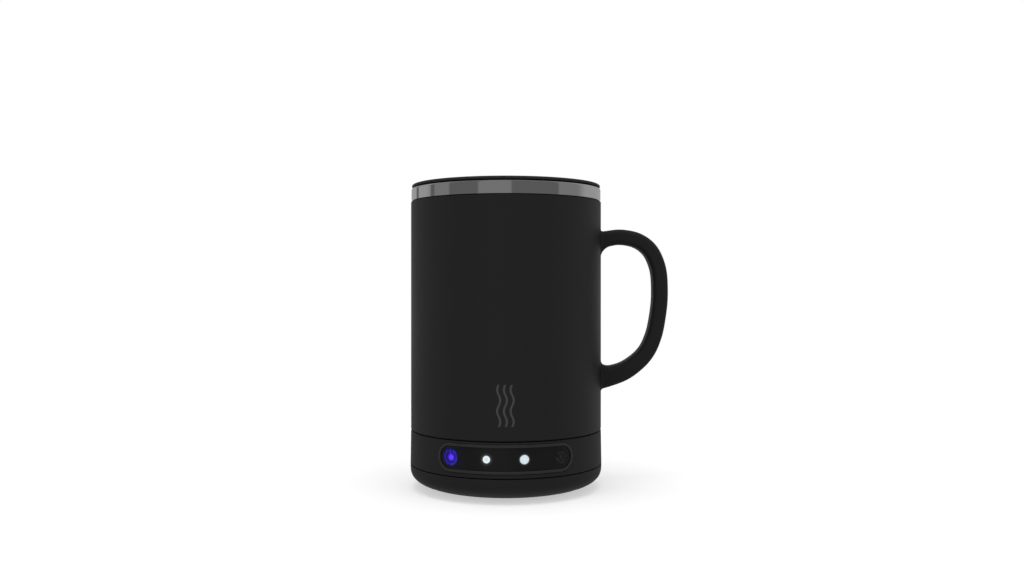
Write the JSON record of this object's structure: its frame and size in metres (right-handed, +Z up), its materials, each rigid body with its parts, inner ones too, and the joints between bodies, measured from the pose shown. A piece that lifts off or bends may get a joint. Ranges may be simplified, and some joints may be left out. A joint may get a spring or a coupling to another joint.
{
  "type": "self heating mug",
  "caption": "Lidded steel mug in a black sleeve with a side handle, twisted onto a round battery heater base with a wrap-around control panel.",
  "frame": {"origin": "on the mug's axis at the underside of the foot pad, where it stands", "axes": "+Z up along the mug's axis, +X towards the handle, -Y towards the control panel"},
  "size_m": [0.1136, 0.0845, 0.1326],
  "materials": {
    "black_plastic": "fine matte",
    "grip_plastic": "fine matte",
    "pin_plastic": "matte",
    "inner_plastic": "matte",
    "silicone": "matte",
    "polished_steel": "polished",
    "screw_steel": "machined",
    "pale_heater": "satin",
    "aluminium": "satin",
    "nickel": "plated",
    "gloss_black": "gloss",
    "bezel_black": "satin",
    "blue_glow": "lit blue symbol",
    "white_glow": "lit white",
    "circuit_board": "solder mask",
    "chip_black": "matte",
    "cell_wrap": "shrink wrap",
    "mica": "pressed mica",
    "foam": "soft foam",
    "black_wire": "insulated wire",
    "red_wire": "insulated wire"
  },
  "bodies": {
    "base": {"base_housing": "black_plastic", "bottom_cover": "black_plastic", "foot_pad": "silicone", "cover_screw_1": "screw_steel", "cover_screw_2": "screw_steel", "cover_screw_3": "screw_steel", "cover_screw_4": "screw_steel", "bayonet_pin_1": "pin_plastic", "bayonet_pin_2": "pin_plastic", "bayonet_pin_3": "pin_plastic", "bayonet_pin_4": "pin_plastic", "panel_face": "gloss_black", "panel_bezel": "bezel_black", "power_switch": "chip_black", "mode_switch": "chip_black", "led_window_1": "white_glow", "led_window_2": "white_glow", "led_1": "white_glow", "led_2": "white_glow", "panel_board": "circuit_board", "charge_port": "nickel", "main_board": "circuit_board", "board_screw_1": "screw_steel", "board_screw_2": "screw_steel", "battery_cell_1": "cell_wrap", "battery_cell_2": "cell_wrap", "battery_holder": "inner_plastic", "cell_link": "nickel", "battery_lead_1": "black_wire", "battery_lead_2": "red_wire", "heater_plate": "pale_heater", "heater_ring": "polished_steel", "heating_element": "mica", "thermistor": "chip_black", "heater_carrier": "inner_plastic", "heat_shield": "aluminium", "heater_screw_1": "screw_steel", "heater_screw_2": "screw_steel", "heater_screw_3": "screw_steel", "heater_lead_1": "red_wire", "heater_lead_2": "red_wire"},
    "twist_seal": {"neck_seal": "silicone"},
    "mug": {"outer_shell": "black_plastic", "steel_cup": "polished_steel", "handle": "grip_plastic", "handle_screw_1": "screw_steel", "handle_screw_2": "screw_steel", "insulation": "foam", "contact_disc": "aluminium", "bayonet_socket": "inner_plastic", "socket_screw_1": "screw_steel", "socket_screw_2": "screw_steel", "socket_screw_3": "screw_steel"},
    "lid": {"lid_body": "black_plastic", "lid_seal": "silicone"},
    "power_key": {"power_button": "blue_glow", "power_plunger": "inner_plastic"},
    "mode_key": {"mode_button": "gloss_black", "mode_plunger": "inner_plastic"}
  },
  "joints": [
    {"name": "mug_twist", "type": "hinge", "parent": "base", "child": "twist_seal", "pos_m": [0, 0, 0.0252], "axis": [0, 0, 1], "range_deg": [-20, 0]},
    {"name": "mug_lift", "type": "slide", "parent": "twist_seal", "child": "mug", "axis": [0, 0, 1], "range_m": [0, 0.0202]},
    {"name": "lid_lift", "type": "slide", "parent": "mug", "child": "lid", "axis": [0, 0, 1], "range_m": [0, 0.0253]},
    {"name": "power_press", "type": "slide", "parent": "base", "child": "power_key", "axis": [-0.5299, -0.848, 0], "range_m": [-0.0005, 0], "stiffness_N_per_m": 1500},
    {"name": "mode_press", "type": "slide", "parent": "base", "child": "mode_key", "axis": [0.5299, -0.848, 0], "range_m": [-0.0005, 0], "stiffness_N_per_m": 1500}
  ]
}
